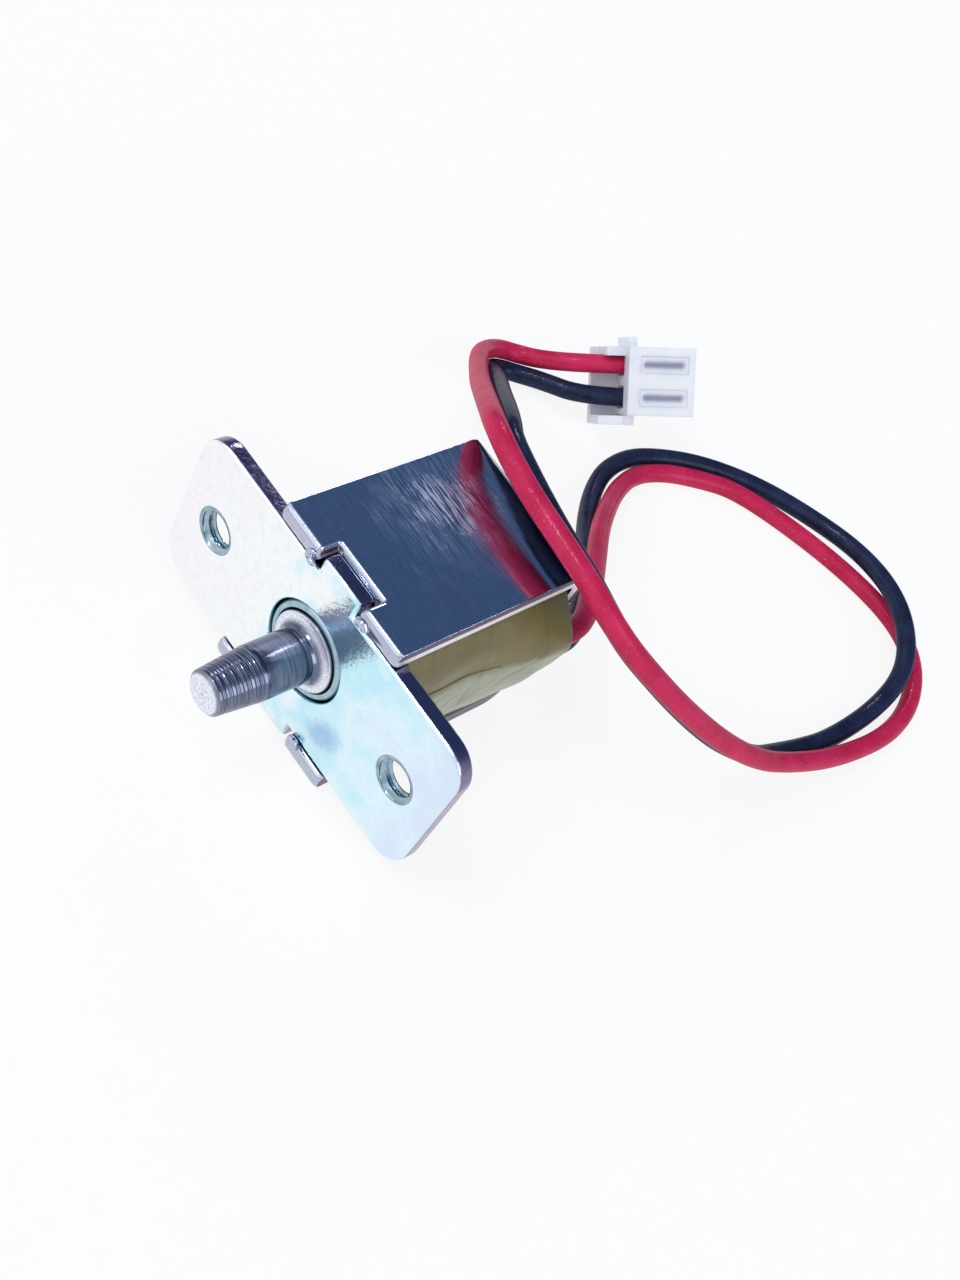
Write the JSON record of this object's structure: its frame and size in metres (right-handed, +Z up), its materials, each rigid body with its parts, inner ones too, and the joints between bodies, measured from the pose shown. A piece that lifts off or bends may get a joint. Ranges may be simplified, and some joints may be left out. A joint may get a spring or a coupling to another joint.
{
  "type": "push-pull electromagnet",
  "caption": "Small open-frame solenoid: sprung plunger with a turned pin, screw flange staked to a U-shaped yoke, taped coil, and leads to a plug",
  "frame": {"origin": "On the plunger's axis, in the plane of the flange's front face, midway between the two screw holes", "axes": "+Y runs along the plunger's axis into the coil, so the pin points to -Y; +X runs from screw hole to screw hole towards the side where the leads come out; +Z is up from the bottom arm of the yoke, on which it stands"},
  "size_m": [0.0423, 0.0608, 0.0239],
  "materials": {
    "plated_strip": "bright nickel-plated mild steel strip, fine handling scratches",
    "zinc_plate": "bright zinc-plated steel with a pale blue passivation",
    "moulded_bobbin": "natural nylon moulding",
    "brass_tube": "drawn brass tube",
    "core_iron": "turned soft iron, plated",
    "enamelled_wire": "enamelled copper wire, wound",
    "wire_enamel": "enamelled copper wire",
    "paper": "insulating paper",
    "sleeving": "insulating sleeve over a soldered joint",
    "tape": "thin olive-grey polyester tape, glossy and slightly wrinkled",
    "rubber_washer": "black rubber",
    "spring_steel": "drawn spring wire",
    "nylon": "natural white translucent nylon moulding",
    "tinned_contact": "tin-plated phosphor bronze",
    "red_insulation": "pinkish-red PVC insulation",
    "black_insulation": "blue-black PVC insulation",
    "plated_plunger": "turned and nickel-plated soft iron, turning grooves on the pin",
    "ring_steel": "phosphated spring steel"
  },
  "bodies": {
    "frame": {"yoke_frame": "plated_strip", "flange_plate": "zinc_plate", "bobbin": "moulded_bobbin", "guide_sleeve": "brass_tube", "fixed_core": "core_iron", "coil_winding": "enamelled_wire", "insulation_pad": "paper", "coil_start_tail": "wire_enamel", "coil_finish_tail": "wire_enamel", "splice_red": "sleeving", "splice_black": "sleeving", "tape_wrap": "tape", "tape_end": "tape", "buffer_washer": "rubber_washer", "return_spring": "spring_steel", "connector_housing": "nylon", "contact_red": "tinned_contact", "contact_black": "tinned_contact", "lead_red": "red_insulation", "lead_black": "black_insulation"},
    "plunger": {"plunger": "plated_plunger", "retaining_ring": "ring_steel"}
  },
  "joints": [
    {"name": "plunger_slide", "type": "slide", "parent": "frame", "child": "plunger", "axis": [0, 1, 0], "range_m": [0, 0.003], "stiffness_N_per_m": 60, "springref_m": -0.004, "deforming": ["return_spring"]}
  ]
}
